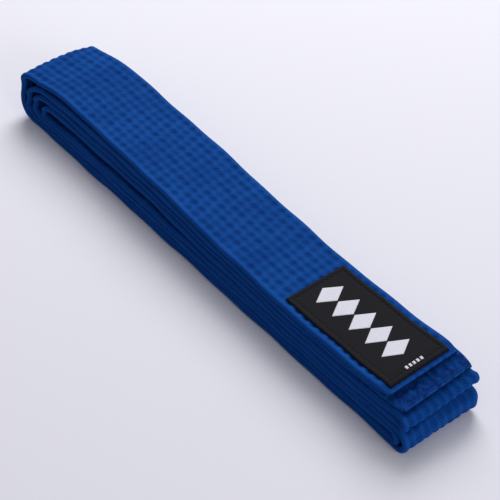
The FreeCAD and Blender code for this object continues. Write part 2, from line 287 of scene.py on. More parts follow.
# ---- studio ----
KEY_DIRECTION = (-0.58, 0.62, 0.80)
KEY_DISTANCE = 1.5
KEY_SIZE = 1.0
KEY_POWER = 22.5
FILL_DIRECTION = (0.95, 0.05, 0.36)
FILL_DISTANCE = 1.2
FILL_SIZE = 0.6
FILL_POWER = 4.0
KEY_COLOUR = (1.0, 0.99, 1.0)
FILL_COLOUR = (1.0, 1.0, 1.0)
WORLD_COLOUR = (0.93, 0.93, 1.0)
WORLD_STRENGTH = 0.31
FLOOR_REACH = 4.0
FLOOR_CLEARANCE = 0.05 * MM
CAMERA_ANGLES = (51.97, 43.77, -0.58)   # azimuth, elevation and roll, in degrees
CAMERA_LENS = 122.4
CAMERA_DISTANCE = 0.8801
CAMERA_AIM = (0.0098, -0.0019)          # sideways and up, from the origin to the middle of the view
CAMERA_CLIP = 0.05


def bump(u, centre, spread):
    """Bell curve, 1 at its centre."""
    return np.exp(-((u - centre) / spread) ** 2)


def rise(u, height, centre, spread):
    return height * bump(u, centre, spread)


def share(x):
    """How far along the bundle x is: 0 at the far folds' line, 1 at end A."""
    return (x - FAR_X) / (END_A - FAR_X)


def gap_under(number, u):
    """Air under a pass, at a share u of the bundle's length."""
    along_bundle, by_pass = TIGHT_GAP_TURNS
    gap = TIGHT_GAP * (1 + TIGHT_GAP_SWAY * np.sin(along_bundle * u + by_pass * number))
    for hump in GAPS[number]:
        gap = gap + rise(u, *hump)
    return gap


def pass_height(number, x):
    """Height of the middle of a pass: the passes below it and the air between them."""
    height = np.full_like(x, FLOOR_Z + STRAP / 2, dtype=float)
    for lower in range(number, 8):
        height = height + LAYER + gap_under(lower, share(x))
    return height


def pass_line(number, start, end):
    x = np.linspace(start, end, int(abs(end - start) / PASS_STEP) + 2)
    return np.column_stack([x, pass_height(number, x)])


def fold_line(first, second):
    """Half a superellipse from one pass to the next, outside the bundle's straight part."""
    fold = (min(first, second), max(first, second))
    far = fold in FAR_REACH
    reach = -FAR_REACH[fold] if far else NEAR_REACH[fold]
    x = FAR_X + FAR_INSET[fold[0]] if far else NEAR_X[fold[0]]
    top, bottom = pass_height(fold[0], x), pass_height(fold[1], x)
    middle, radius = (top + bottom) / 2, (top - bottom) / 2
    turn = np.linspace(0, math.pi, FOLD_POINTS)[1:-1]
    upper, lower = FOLD_POWERS.get(fold, ROUND)
    power = np.where(turn < math.pi / 2, 2 / upper, 2 / lower)
    outward = np.abs(np.sin(turn)) ** power
    px = x + (reach + FOLD_TILT.get(fold, 0) * np.cos(turn)) * outward
    px = px + BUCKLES.get(fold, 0) * np.sin(BUCKLE_TURNS * turn) * np.sin(turn)
    pz = middle + radius * np.sign(np.cos(turn)) * np.abs(np.cos(turn)) ** power
    line = np.column_stack([px, pz])
    return line if first < second else line[::-1]


def smooth(values, sigma):
    """Gaussian smoothing along the line, with both ends held."""
    reach = int(KERNEL_REACH * sigma / LINE_STEP)
    kernel = np.exp(-0.5 * (np.arange(-reach, reach + 1) * LINE_STEP / sigma) ** 2)
    padded = np.pad(values, reach, mode="reflect", reflect_type="odd")
    return np.convolve(padded, kernel / kernel.sum(), mode="valid")


def along(points):
    steps = np.linalg.norm(np.diff(points, axis=0), axis=1)
    return np.concatenate([[0], np.cumsum(steps)])


def middle_line():
    """The ribbon's middle line, evenly divided, with the distance along it where each pass starts."""
    runs = []
    first_point = {}
    for index, number in enumerate(ROUTE):
        far, near = FAR_X + FAR_INSET[number], NEAR_X[number]
        ends = (near, far) if index % 2 == 0 else (far, near)
        first_point[number] = sum(len(run) for run in runs)
        runs.append(pass_line(number, *ends))
        if index + 1 < len(ROUTE):
            runs.append(fold_line(number, ROUTE[index + 1]))
    points = np.concatenate(runs)
    distance = along(points)
    starts = {number: distance[first] for number, first in first_point.items()}
    even = np.arange(0, distance[-1], LINE_STEP)
    x = smooth(np.interp(even, distance, points[:, 0]), LINE_SMOOTHING)
    z = smooth(np.interp(even, distance, points[:, 1]), LINE_SMOOTHING)
    return even, x, z, starts


LINE_S, LINE_X, LINE_Z, PASS_START = middle_line()
LENGTH = LINE_S[-1]
TANGENT = np.gradient(np.column_stack([LINE_X, LINE_Z]), LINE_STEP, axis=0)
TANGENT /= np.linalg.norm(TANGENT, axis=1)[:, None]
HEADING = np.unwrap(np.arctan2(TANGENT[:, 1], TANGENT[:, 0]))
# Positive where the strap turns to its left
CURVATURE = smooth(np.gradient(HEADING, LINE_STEP), CURVATURE_SMOOTHING)


def bow(u):
    """Share of the upper passes' bow: it grows quickly from the far folds and dies slowly to nothing."""
    return np.interp(u, BOW_PLACES, (0, 1, 0))


def lean():
    """Along the line: how far the strap lies sideways, its slope across, and how near the far top is."""
    u = share(LINE_X)
    low, top = pass_height(8, LINE_X), pass_height(1, LINE_X)
    lift = (LINE_Z - low) / (top - low)
    lower = 1 / (1 + np.exp((lift - LOWER_TOP) / LOWER_FADE))
    upper = np.clip((lift - UPPER_START) / (1 - UPPER_START), 0, 1)
    shifted = LOWER_SHIFT * lower * (LOWER_SHIFT_FAR + (1 - LOWER_SHIFT_FAR) * u)
    off = UPPER_BOW * upper * bow(u) + shifted
    wander = sum(height * np.sin(LINE_S / length + start) for height, length, start in WANDER)
    end_b = rise(LINE_S, END_B_SHIFT, LENGTH, END_B_SHIFT_SPREAD)
    near = np.clip((u - ROLL_START) / (1 - ROLL_START), 0, 1)
    eased = near ** 2 * (3 - 2 * near)
    roll = NEAR_ROLL * eased * np.interp(lift, ROLL_HEIGHTS, ROLL_SHARES)
    far_top = np.clip(2 * lift - 1, 0, 1) * bump(u, FAR_TOP_PLACE, FAR_TOP_SPREAD)
    return smooth(off, BOW_SMOOTHING) + wander + end_b, roll, far_top


SIDEWAYS, ROLL, FAR_TOP = lean()


def strap_point(s, y, out):
    """Point at a distance s along the strap, y across it and out of its middle towards its front."""
    s, y, out = np.broadcast_arrays(s, y, out)
    inside = np.clip(s, 0, LENGTH)
    tx = np.interp(inside, LINE_S, TANGENT[:, 0])
    tz = np.interp(inside, LINE_S, TANGENT[:, 1])
    norm = np.hypot(tx, tz)
    tx, tz = tx / norm, tz / norm
    bend = np.interp(inside, LINE_S, CURVATURE)
    room = BEND_ROOM / np.maximum(np.abs(bend), STRAIGHT)
    squeezed = np.where(out * bend < 0, np.sign(out) * np.minimum(np.abs(out), room), out)
    x = np.interp(inside, LINE_S, LINE_X) + tx * (s - inside) + tz * squeezed
    z = np.interp(inside, LINE_S, LINE_Z) + tz * (s - inside) - tx * squeezed
    spread = 1 + FOLD_SPREAD * np.clip(np.abs(bend) * SPREAD_RADIUS, 0, 1)
    short, long = EDGE_WOBBLE_LENGTHS
    wobble = EDGE_WOBBLE * y / HALF_WIDTH * np.sin(s / short + np.sign(y)) * np.sin(s / long)
    y = y * spread + wobble
    z = z + y * np.interp(inside, LINE_S, ROLL)
    far_top = np.interp(inside, LINE_S, FAR_TOP)
    corner = far_top * np.clip(0.5 + 0.5 * y / HALF_WIDTH, 0, 2) ** CORNER_POWER
    z = z + FAR_CROWN * far_top * (1 - (y / HALF_WIDTH) ** 2) - FAR_DROOP * corner
    x = x + FAR_TUCK * corner * np.clip((FAR_X - x) / TUCK_REACH, 0, 1)
    return np.stack([x, np.interp(inside, LINE_S, SIDEWAYS) + y, z], axis=-1)


# ---- quilting ----
def uneven(row, count, turns):
    """From -1 to 1, different for every stitch and row."""
    by_stitch, by_row = turns
    return np.sin(by_stitch * count + by_row * row)


def hole_place(row, count):
    """Distance along the strap of a needle hole, a little uneven from stitch to stitch and row to row."""
    first, second = JITTER_TURNS
    jitter = STITCH_JITTER * uneven(row, count, first) * uneven(row, count, second)
    wave = STITCH_WAVE * uneven(row, count, WAVE_TURNS)
    return count * STITCH_PITCH + STITCH_SLANT * ROWS[row] + jitter + wave


def billow(s, y):
    """Slow rise and fall of the cloth over a few stitches, within 1 either way."""
    waves = (np.sin(s / length + y / width + start) for length, width, start in BILLOW_WAVES)
    return sum(waves) / len(BILLOW_WAVES)


def relief(s, y):
    """How far the cloth stands out from HALF_THICK at a place on either face."""
    margin = np.abs(y) - (abs(ROWS[0]) + HALF_WIDTH) / 2
    out = rise(margin, MARGIN_SWELL, 0, MARGIN_SPREAD) + BILLOW * billow(s, y)
    tight = np.clip(np.abs(np.interp(s, LINE_S, CURVATURE)) * FOLD_RADIUS, 0, 1)
    row_depth = ROW_DEPTH + FOLD_ROW_DEPTH * tight
    for row, place in enumerate(ROWS):
        across = y - place
        out = out - row_depth * bump(across, 0, ROW_SPREAD)
        before = np.floor((s - STITCH_SLANT * place) / STITCH_PITCH)
        for count in (before - 1, before, before + 1, before + 2):
            ahead = s - hole_place(row, count)
            pull = HOLE_DEPTH * (1 + HOLE_UNEVEN * uneven(row, count, PULL_TURNS))
            out = out - pull * np.exp(-(across / HOLE_ACROSS) ** 2 - (ahead / HOLE_ALONG) ** 2)
            out = out - CROSS_DEPTH * np.exp(-(across / CROSS_REACH) ** 2 - (ahead / CROSS_ALONG) ** 2)
    to_end = np.minimum(s, LENGTH - s)
    between_tacks = 0.5 + 0.5 * np.cos(2 * math.pi * y / TACK_PITCH)
    out = out - between_tacks * rise(to_end, GATHER, GATHER_PLACE, GATHER_SPREAD)
    return out * (1 - FOLD_CALM * tight) * (1 - rise(to_end, END_CALM, 0, END_CALM_SPREAD))


def end_thickness(s):
    """Share of the strap's thickness close to its ends: turned in, pressed, and sewn down along a seam."""
    to_end = np.minimum(s, LENGTH - s)
    return 1 - rise(to_end, *END_PRESS) + rise(to_end, *END_LIP) - rise(to_end, *END_SEAM)


def end_width(s):
    """Share of the strap's width close to its ends, where the corners are turned in."""
    to_end = np.minimum(s, LENGTH - s)
    return 1 - rise(to_end, *END_NARROWING) - rise(to_end, *CORNER_NARROWING)


def face_out(s, y):
    """Distance of the cloth's face from the strap's middle."""
    return (HALF_THICK + relief(s, y)) * end_thickness(s)


# ---- mesh helpers ----
def signed_volume(points, quads):
    corners = points[quads] - points.mean(axis=0)
    a, b, c, d = (corners[:, i] for i in range(4))
    return (np.einsum("ij,ij->i", a, np.cross(b, c)) + np.einsum("ij,ij->i", a, np.cross(c, d))).sum()


def new_piece(name, points, quads, caps, material):
    """Object from quads and end caps, with its faces looking outward."""
    points = points.reshape(-1, 3)
    if signed_volume(points, quads) < 0:
        quads = quads[:, ::-1]
        caps = [cap[::-1] for cap in caps]
    mesh = bpy.data.meshes.new(name)
    mesh.from_pydata(points.tolist(), [], quads.tolist() + caps)
    mesh.validate()
    mesh.shade_smooth()
    mesh.materials.append(material)
    piece = bpy.data.objects.new(name, mesh)
    bpy.context.scene.collection.objects.link(piece)
    return piece


def mark_strap_place(piece, s, across, out):
    """Store each vertex's place on the strap, which the weave in its material follows."""
    attribute = piece.data.attributes.new("strap_place", "FLOAT_VECTOR", "POINT")
    values = np.stack(np.broadcast_arrays(s, across, out), axis=-1).astype(np.float32)
    attribute.data.foreach_set("vector", values.ravel())


def tube_quads(index):
    """Quads round closed rings: index is (..., rings, round the ring)."""
    ahead = np.roll(index, -1, axis=-1)
    near, far = index[..., :-1, :], index[..., 1:, :]
    return np.stack([near, far, ahead[..., 1:, :], ahead[..., :-1, :]], axis=-1).reshape(-1, 4)


def section(step):
    """Places round the strap's section: y across, and side, 1 on the front and -1 on the back."""
    flat = HALF_WIDTH - EDGE_ROUND
    face = np.linspace(-flat, flat, int(2 * flat / step) + 1)
    turn = np.linspace(0, math.pi, EDGE_POINTS + 2)[1:-1]
    edge = flat + EDGE_ROUND * np.sin(turn)
    y = np.concatenate([face, edge, face[::-1], -edge])
    side = np.concatenate([np.ones(len(face)), np.cos(turn), -np.ones(len(face)), -np.cos(turn)])
    return y, side


def strap_piece(name, stations, step, material):
    """A closed length of strap. Each station is a distance along it and a share of its thickness."""
    y, side = section(step)
    s, y = np.meshgrid(stations[:, 0], y, indexing="ij")
    thin = stations[:, 1:]
    out = side * face_out(s, y) * thin
    narrowed = 1 - NOSE_NARROWING + NOSE_NARROWING * np.minimum(1, 2 * thin)
    points = strap_point(s, y * end_width(s) * narrowed, out)
    index = np.arange(s.size).reshape(s.shape)
    caps = [index[0].tolist(), index[-1][::-1].tolist()]
    piece = new_piece(name, points, tube_quads(index), caps, material)
    folded_over = np.clip(y / EDGE_BLEND, -1, 1)
    mark_strap_place(piece, s.ravel(), (y - out * folded_over).ravel(), out.ravel())
    return piece


def strands(name, starts, ends, side, surface, radius, material):
    """Thread strands that lie on a face of the strap and dip in at both ends. Places are (s, y)."""
    starts, ends = np.asarray(starts), np.asarray(ends)
    way = (ends - starts) / np.linalg.norm(ends - starts, axis=1)[:, None]
    t = np.linspace(0, 1, STRAND_SPANS + 1)
    lift = np.sin(math.pi * t) ** STRAND_ARCH
    s = starts[:, :1] + (ends - starts)[:, :1] * t
    y = starts[:, 1:] + (ends - starts)[:, 1:] * t
    height = surface(s, y) + radius * (STRAND_DIP * lift - STRAND_DIP)
    girth = radius * (STRAND_TIP + (1 - STRAND_TIP) * lift)
    rings = []
    for turn in np.linspace(0, 2 * math.pi, STRAND_SIDES, endpoint=False):
        shift = girth * math.cos(turn)
        rings.append(strap_point(s - way[:, 1:] * shift, y + way[:, :1] * shift,
                                 side * (height + girth * math.sin(turn))))
    points = np.stack(rings, axis=2)
    index = np.arange(points.size // 3).reshape(points.shape[:3])
    caps = index[:, 0].tolist() + index[:, -1, ::-1].tolist()
    piece = new_piece(name, points, tube_quads(index), caps, material)
    along_strand = np.broadcast_to(s[:, :, None], points.shape[:3])
    across = np.broadcast_to(y[:, :, None], points.shape[:3])
    mark_strap_place(piece, along_strand.ravel(), across.ravel(), 0)
    return piece


def joined(name, pieces):
    """One object from several with the same material."""
    with bpy.context.temp_override(active_object=pieces[0], selected_editable_objects=pieces):
        bpy.ops.object.join()
    pieces[0].name = name
    pieces[0].data.name = name
    return pieces[0]


def slab(name, shapes, counts, top, bottom, material):
    """Closed thin pads on the front of the strap. Each shape turns (a, b), from -1 to 1, into (s, y)."""
    a, b = np.meshgrid(np.linspace(-1, 1, counts[0]), np.linspace(-1, 1, counts[1]), indexing="ij")
    border = np.concatenate([np.arange(counts[1]), np.arange(2, counts[0] + 1) * counts[1] - 1,
                             counts[0] * counts[1] - 2 - np.arange(counts[1] - 1),
                             np.arange(counts[0] - 2, 0, -1) * counts[1]])
    grid = np.arange(a.size).reshape(a.shape)
    cells = np.stack([grid[:-1, :-1], grid[1:, :-1], grid[1:, 1:], grid[:-1, 1:]], axis=-1).reshape(-1, 4)
    ahead = np.roll(border, -1)
    walls = np.stack([border, ahead, ahead + a.size, border + a.size], axis=-1)
    one = np.concatenate([cells, cells[:, ::-1] + a.size, walls])
    points, quads, places = [], [], []
    for shape in shapes:
        s, y = shape(a, b)
        quads.append(one + len(points) * a.size)
        points += [strap_point(s, y, top(a, b, s, y)), strap_point(s, y, bottom(s, y))]
        places += [(s, y, top(a, b, s, y)), (s, y, bottom(s, y))]
    piece = new_piece(name, np.stack(points), np.concatenate(quads), [], material)
    mark_strap_place(piece, *(np.stack([place[i] for place in places]).ravel() for i in range(3)))
    return piece


# ---- materials ----
def add(tree, kind, settings=None, **inputs):
    """New node. Inputs are sockets to link or values, named with _ for a space, or i0, i1 by number."""
    made = tree.nodes.new(kind)
    for key, value in (settings or {}).items():
        setattr(made, key, value)
    for key, value in inputs.items():
        numbered = key[0] == "i" and key[1:].isdigit()
        socket = made.inputs[int(key[1:])] if numbered else made.inputs[key.replace("_", " ")]
        if isinstance(value, bpy.types.NodeSocket):
            tree.links.new(value, socket)
        else:
            socket.default_value = value
    return made


def maths(tree, operation, first, second=0.0):
    return add(tree, "ShaderNodeMath", {"operation": operation}, i0=first, i1=second).outputs[0]


def strap_place_mm(tree):
    """Place on the strap in millimetres: along, across and out."""
    place = add(tree, "ShaderNodeAttribute", {"attribute_name": "strap_place"}).outputs["Vector"]
    return add(tree, "ShaderNodeVectorMath", {"operation": "SCALE"}, i0=place, Scale=1 / MM).outputs[0]


def lines(tree, place, pitch, degrees, sway=None):
    """Parallel ridges from 0 to 1, at an angle to the strap's length."""
    angle = math.radians(degrees)
    across = (-math.sin(angle) / pitch, math.cos(angle) / pitch, 0)
    turns = add(tree, "ShaderNodeVectorMath", {"operation": "DOT_PRODUCT"}, i0=place, i1=across)
    turns = turns.outputs["Value"]
    if sway is not None:
        turns = maths(tree, "ADD", turns, sway)
    wave = maths(tree, "SINE", maths(tree, "MULTIPLY", turns, 2 * math.pi))
    return maths(tree, "ADD", maths(tree, "MULTIPLY", wave, 0.5), 0.5)


def noise(tree, place, size, detail=3.0):
    return add(tree, "ShaderNodeTexNoise", Vector=place, Scale=1 / size, Detail=detail).outputs[0]


def spread(tree, value, low, high):
    """value from low to high, as 0 to 1."""
    return add(tree, "ShaderNodeMapRange", Value=value, From_Min=low, From_Max=high).outputs[0]


def mixed(tree, share_of_second, first, second):
    made = add(tree, "ShaderNodeMix", {"data_type": "RGBA"}, i0=share_of_second)
    for socket, value in ((made.inputs[6], first), (made.inputs[7], second)):
        if isinstance(value, bpy.types.NodeSocket):
            tree.links.new(value, socket)
        else:
            socket.default_value = (*value, 1)
    return made.outputs[2]
def tinted(tree, body, where, strength, colour):
    """body with a colour mixed in: where it goes, times how strongly."""
    return mixed(tree, maths(tree, "MULTIPLY", where, strength), body, colour)


def cloth(name, roughness, specular, sheen, sheen_tint, weave):
    """Woven material. weave(tree, place) gives its colour, and its height from 0 to 1 with a depth."""
    material = bpy.data.materials.new(name)
    material.use_nodes = True
    tree = material.node_tree
    shader = tree.nodes["Principled BSDF"]
    colour, height, depth = weave(tree, strap_place_mm(tree))
    tree.links.new(colour, shader.inputs["Base Color"])
    normal = add(tree, "ShaderNodeBump", Height=height, Strength=1.0, Distance=depth)
    tree.links.new(normal.outputs[0], shader.inputs["Normal"])
    shader.inputs["Roughness"].default_value = roughness
    shader.inputs["Specular IOR Level"].default_value = specular
    shader.inputs["Sheen Weight"].default_value = sheen
    shader.inputs["Sheen Roughness"].default_value = SHEEN_ROUGHNESS
    shader.inputs["Sheen Tint"].default_value = (*sheen_tint, 1)
    return material


def belt_wear_and_painted_light(tree, place, slubs, body):
    """Painted shade in the sewn dimples, under end A and in the ends' slits; paler slubs; paler crests,
    edges and end lips, partly wear and partly painted highlight.
    """
    middle = LENGTH / 2 / MM
    face = HALF_THICK / MM
    parts = add(tree, "ShaderNodeSeparateXYZ", Vector=place).outputs
    depth = maths(tree, "ABSOLUTE", parts[2])
    edge = spread(tree, maths(tree, "ABSOLUTE", parts[1]), *EDGE_PLACES)
    raised = spread(tree, depth, *(face + height for height in DIMPLE_HEIGHTS))
    crests = spread(tree, depth, *(face + height for height in CREST_HEIGHTS))
    shadow_under_end_a = spread(tree, parts[0], *(LENGTH / MM - place_mm for place_mm in END_A_SHADOW_PLACES))
    shadow_mottle = spread(tree, noise(tree, place, SHADOW_MOTTLE_SIZE, 2.0), 0.36, 0.64)
    to_middle = maths(tree, "ABSOLUTE", maths(tree, "SUBTRACT", parts[0], middle))
    lip = spread(tree, to_middle, *(middle - place_mm for place_mm in LIP_PLACES))
    worn_and_highlit_edge = maths(tree, "MULTIPLY", edge, spread(tree, slubs, 0.35, 0.75))
    # painted shade in the sewn dimples
    body = tinted(tree, body, maths(tree, "SUBTRACT", 1.0, raised), DIMPLE_PAINTED_SHADE, BELT_BLUE_DEEP)
    # paler crests: partly wear, partly painted highlight
    body = tinted(tree, body, crests, WEAR_AND_HIGHLIGHT, BELT_BLUE_WORN_AND_HIGHLIGHT)
    # painted shadow of end A on the strip of end B beneath it, mottled
    body = tinted(tree, body, shadow_under_end_a, shadow_mottle, BELT_BLUE_DEEP)
    # paler slubs: the yarn's own colour
    body = tinted(tree, body, spread(tree, slubs, 0.55, 0.8), WEAR_AND_HIGHLIGHT, BELT_BLUE_WORN_AND_HIGHLIGHT)
    # paler edges: partly wear, partly painted highlight
    body = tinted(tree, body, worn_and_highlit_edge, WEAR_AND_HIGHLIGHT, BELT_BLUE_WORN_AND_HIGHLIGHT)
    # paler end lips: partly wear, partly painted highlight
    body = tinted(tree, body, lip, LIP_WEAR_AND_HIGHLIGHT, BELT_BLUE_WORN_AND_HIGHLIGHT)
    # painted shade in the ends' slits
    return tinted(tree, body, lip, spread(tree, depth, *SLIT_DEPTHS), BELT_BLUE_DEEP)


def belt_weave(tree, place):
    """Royal blue cotton twill: steep diagonal ridges of spun yarn, with painted shade in the sewn dimples.
    """
    slubs = noise(tree, place, SLUB_SIZE)
    patches = noise(tree, place, PATCH_SIZE)
    sway = maths(tree, "MULTIPLY", noise(tree, place, SWAY_SIZE), 0.5)
    ridges = lines(tree, place, *TWILL, sway)
    yarns = lines(tree, place, *SPUN_YARN, sway)
    body = mixed(tree, spread(tree, patches, 0.3, 0.7), BELT_BLUE, BELT_BLUE_PALE)
    body = tinted(tree, body, maths(tree, "SUBTRACT", 1.0, ridges), RIDGE_SHADE, BELT_BLUE_DEEP)
    body = belt_wear_and_painted_light(tree, place, slubs, body)
    height = maths(tree, "ADD", maths(tree, "MULTIPLY", ridges, 0.55), maths(tree, "MULTIPLY", yarns, 0.15))
    return body, maths(tree, "ADD", height, maths(tree, "MULTIPLY", slubs, 0.5)), BELT_BUMP


def thread_weave(light, dark):
    """Twisted sewing thread."""
    def weave(tree, place):
        twist = lines(tree, place, *THREAD_TWIST)
        return mixed(tree, twist, dark, light), twist, THREAD_BUMP
    return weave


def label_weave(tree, place):
    """Black damask label: fine ribs along the belt, crossed by finer picks."""
    ribs = lines(tree, place, *LABEL_RIBS)
    picks = lines(tree, place, *LABEL_PICKS)
    grain = noise(tree, place, LABEL_GRAIN)
    height = maths(tree, "ADD", maths(tree, "MULTIPLY", ribs, 0.4), maths(tree, "MULTIPLY", picks, 0.35))
    tone = maths(tree, "MULTIPLY", maths(tree, "ADD", height, grain), 0.6)
    return mixed(tree, tone, LABEL_BLACK, LABEL_GREY), height, LABEL_BUMP


def yarn_weave(tree, place):
    """Pale satin yarn, laid across the label in fine floats."""
    sway = maths(tree, "MULTIPLY", noise(tree, place, YARN_SWAY), 0.4)
    floats = lines(tree, place, *YARN_FLOATS, sway)
    binding = lines(tree, place, *YARN_BINDING)
    grain = noise(tree, place, YARN_GRAIN)
    tone = maths(tree, "MULTIPLY", maths(tree, "ADD", floats, maths(tree, "ADD", grain, binding)), 0.33)
    height = maths(tree, "ADD", maths(tree, "MULTIPLY", floats, 0.7), maths(tree, "MULTIPLY", grain, 0.4))
    return mixed(tree, tone, YARN_SHADE, YARN_LIGHT), height, YARN_BUMP


def floor_material():
    material = bpy.data.materials.new("floor_card")
    material.use_nodes = True
    tree = material.node_tree
    shader = tree.nodes["Principled BSDF"]
    place = add(tree, "ShaderNodeTexCoord").outputs["Object"]
    grain = noise(tree, place, FLOOR_GRAIN)
    colour = mixed(tree, maths(tree, "MULTIPLY", grain, 0.3), FLOOR_COLOUR, FLOOR_SHADE)
    tree.links.new(colour, shader.inputs["Base Color"])
    shader.inputs["Roughness"].default_value = 0.9
    shader.inputs["Specular IOR Level"].default_value = 0.1
    return material


MATERIALS = {
    "belt_cloth": cloth("belt_cloth", roughness=0.88, specular=0.05, sheen=0.03, sheen_tint=BLUE_SHEEN,
                        weave=belt_weave),
    "belt_thread": cloth("belt_thread", roughness=0.70, specular=0.10, sheen=0.03, sheen_tint=BLUE_SHEEN,
                         weave=thread_weave(THREAD_LIGHT, THREAD_DARK)),
    "label_cloth": cloth("label_cloth", roughness=0.75, specular=0.12, sheen=0.02, sheen_tint=LABEL_SHEEN,
                         weave=label_weave),
    "label_yarn": cloth("label_yarn", roughness=0.60, specular=0.20, sheen=0.05, sheen_tint=YARN_SHEEN,
                        weave=yarn_weave),
    "label_thread": cloth("label_thread", roughness=0.60, specular=0.15, sheen=0.02,
                          sheen_tint=LABEL_THREAD_SHEEN,
                          weave=thread_weave(LABEL_THREAD_LIGHT, LABEL_THREAD_DARK)),
}


# ---- the strap ----
def stations(start, end, step):
    s = np.linspace(start, end, max(2, int(round((end - start) / step)) + 1))
    return np.column_stack([s, np.ones(len(s))])


def strap_lengths():
    """The strap, cut where the cut is hidden between passes or rests under the bundle."""
    nose = np.array(NOSE) * (MM, 1)
    nose_b = ((LENGTH, 0) + nose * (-1, 1))[::-1]
    full = nose[-1, 0] + FINE
    cut_8 = PASS_START[8] + CUT
    cut_5 = PASS_START[5] + CUT
    cut_4 = PASS_START[3] - fold_length(3, 4) - CUT
    cut_3 = PASS_START[3] + CUT
    cut_7 = PASS_START[2] - fold_length(2, 7) - CUT
    return {
        "strap_label_pass": (np.concatenate([nose, stations(full, cut_8, FINE)]), FINE),
        "strap_bottom_pass": (stations(cut_8, cut_5, FINE), FINE),
        "strap_inner_passes_5_4": (stations(cut_5, cut_4, COARSE), COARSE),
        "strap_near_fold_3_4": (stations(cut_4, cut_3, FINE), FINE),
        "strap_inner_passes_3_6_7": (stations(cut_3, cut_7, COARSE), COARSE),
        "strap_second_pass": (np.concatenate([stations(cut_7, LENGTH - full, FINE), nose_b]), FINE),
    }


def fold_length(upper, lower):
    """Length of the strap's middle round a fold."""
    first, second = sorted((upper, lower), key=ROUTE.index)
    return PASS_START[second] - PASS_START[first] - abs(NEAR_X[first] - FAR_X - FAR_INSET[first])


def make_strap():
    return {name: strap_piece(name, places, step, MATERIALS["belt_cloth"])
            for name, (places, step) in strap_lengths().items()}


def row_stitches(start, end):
    """Starts and ends of the stitches in every row, between two distances along the strap."""
    starts, ends = [], []
    for row, y in enumerate(ROWS):
        for count in range(math.ceil(start / STITCH_PITCH) + 1, math.floor(end / STITCH_PITCH) - 1):
            starts.append((hole_place(row, count) + HOLE_REST, y))
            ends.append((hole_place(row, count + 1) - HOLE_REST, y))
    return starts, ends


def row_threads(name, start, end, side):
    starts, ends = row_stitches(start, end)
    return strands(name, starts, ends, side, face_out, THREAD_RADIUS, MATERIALS["belt_thread"])


def across_stitches(s):
    """Row of short stitches across the strap, at a distance along it."""
    half = HALF_WIDTH * TACK_WIDTH
    count = int(2 * half / TACK_PITCH)
    places = (np.arange(count) - (count - 1) / 2) * TACK_PITCH
    starts = [(s, y - TACK_LENGTH / 2) for y in places]
    ends = [(s, y + TACK_LENGTH / 2) for y in places]
    return starts, ends


# ---- the label ----
LABEL_START = END_A - LABEL_HIGH.x
LABEL_LENGTH = LABEL_HIGH.x - LABEL_LOW.x
LABEL_HALF_WIDTH = LABEL_HIGH.y
LABEL_MIDDLE = LABEL_START + LABEL_LENGTH / 2


def label_border_distance(s, y):
    return np.minimum(LABEL_LENGTH / 2 - np.abs(s - LABEL_MIDDLE), LABEL_HALF_WIDTH - np.abs(y))


def label_top(s, y):
    """Height of the label's face: a folded rim, pulled down along its stitches, and a slight pillow."""
    inset = label_border_distance(s, y)
    rim = rise(inset, *LABEL_RIM)
    pull = rise(inset, *BORDER_PULL)
    pucker = rise(inset, *PUCKER) * np.sin((s + y) * 2 * math.pi / PUCKER_PITCH)
    length, width = PILLOW_LENGTHS
    pillow = PILLOW * np.sin((s - LABEL_START) / length) * np.cos(y / width)
    rounding = LABEL_ROUND * (1 - np.sqrt(1 - (1 - np.clip(inset / LABEL_ROUND, 0, 1)) ** 2))
    return HALF_THICK * end_thickness(s) + LABEL_THICKNESS + rim - pull + pucker + pillow - rounding


def label_rectangle(a, b):
    return LABEL_MIDDLE + a * LABEL_LENGTH / 2, b * LABEL_HALF_WIDTH


def patch_top(a, b, s, y):
    return label_top(s, y)


def patch_bottom(s, y):
    return HALF_THICK * end_thickness(s) - LABEL_SINK


def make_label_patch():
    return slab("label_patch_woven", [label_rectangle], PATCH_CELLS, patch_top, patch_bottom,
                MATERIALS["label_cloth"])


def pad_top(a, b, s, y):
    """Yarn figure on the label, with rounded borders."""
    rim = np.clip((1 - np.maximum(np.abs(a), np.abs(b))) / YARN_ROUND, 0, 1)
    return label_top(s, y) + YARN_HEIGHT * (YARN_RIM + (1 - YARN_RIM) * np.sqrt(1 - (1 - rim) ** 2))


def pad_bottom(s, y):
    return label_top(s, y) - YARN_SINK


def lozenge(centre, length, height):
    def shape(a, b):
        return centre + (a + b) / 2 * length / 2, (a - b) / 2 * height / 2
    return shape


def bar(s, y, length, width):
    def shape(a, b):
        return s + a * length / 2, y + b * width / 2
    return shape


def make_label_lozenges():
    low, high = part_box("label_woven_lozenges")
    span, height = high.x - low.x, high.y - low.y
    step = span / LOZENGES
    first = END_A - high.x + step / 2
    shapes = [lozenge(first + index * step, step - LOZENGE_GAP, height) for index in range(LOZENGES)]
    return slab("label_woven_lozenges_woven", shapes, LOZENGE_CELLS, pad_top, pad_bottom,
                MATERIALS["label_yarn"])


def make_label_ticks():
    low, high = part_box("label_woven_ticks")
    pitch = (high.y - low.y - TICK_WIDTH) / (TICKS - 1)
    first = low.y + TICK_WIDTH / 2
    s = END_A - (low.x + high.x) / 2
    shapes = [bar(s, first + index * pitch, high.x - low.x, TICK_WIDTH) for index in range(TICKS)]
    return slab("label_woven_ticks_woven", shapes, TICK_CELLS, pad_top, pad_bottom,
                MATERIALS["label_yarn"])


